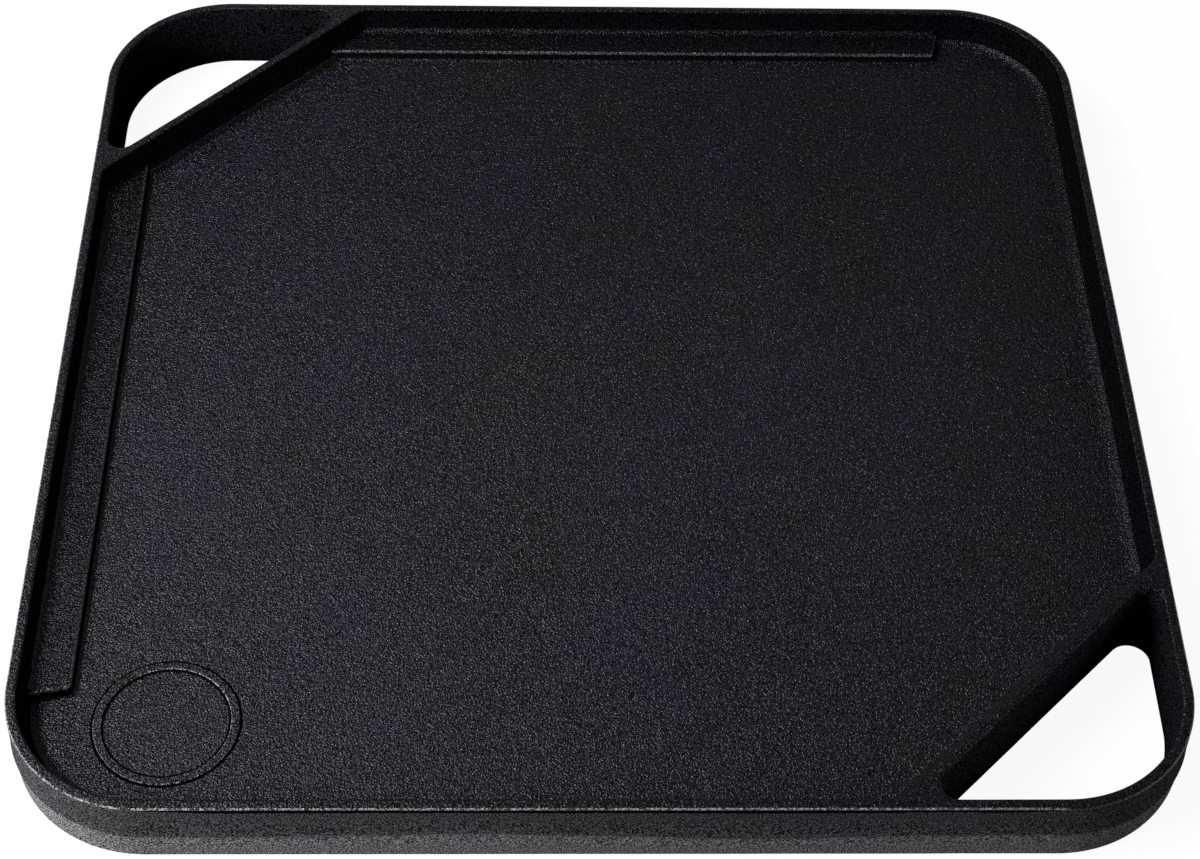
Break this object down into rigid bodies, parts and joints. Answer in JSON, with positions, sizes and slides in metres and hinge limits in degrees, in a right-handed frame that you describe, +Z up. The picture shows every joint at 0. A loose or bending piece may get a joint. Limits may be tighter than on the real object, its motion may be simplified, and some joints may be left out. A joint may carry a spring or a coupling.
{
  "type": "camp griddle plate",
  "caption": "Square cast-iron camp griddle plate with a flat cooking floor, a raised rim, rounded corners, and hand openings cast into opposite corners.",
  "frame": {"origin": "middle of the plate, on the surface that its rim stands on", "axes": "+Z up out of the cooking floor, +X to the right and +Y to the back as the picture is taken; the hand openings are at back left and front right"},
  "size_m": [0.281, 0.281, 0.0202],
  "materials": {
    "seasoned_iron": "satin, sand-cast and seasoned black"
  },
  "bodies": {
    "root": {"floor_plate": "seasoned_iron", "rim_front": "seasoned_iron", "rim_right": "seasoned_iron", "rim_back": "seasoned_iron", "rim_left": "seasoned_iron", "corner_front_left": "seasoned_iron", "corner_back_right": "seasoned_iron", "handle_loop_back_left": "seasoned_iron", "handle_loop_front_right": "seasoned_iron", "handle_wall_back_left": "seasoned_iron", "handle_wall_front_right": "seasoned_iron", "strip_back": "seasoned_iron", "strip_left": "seasoned_iron", "emblem_ring": "seasoned_iron"}
  },
  "joints": []
}
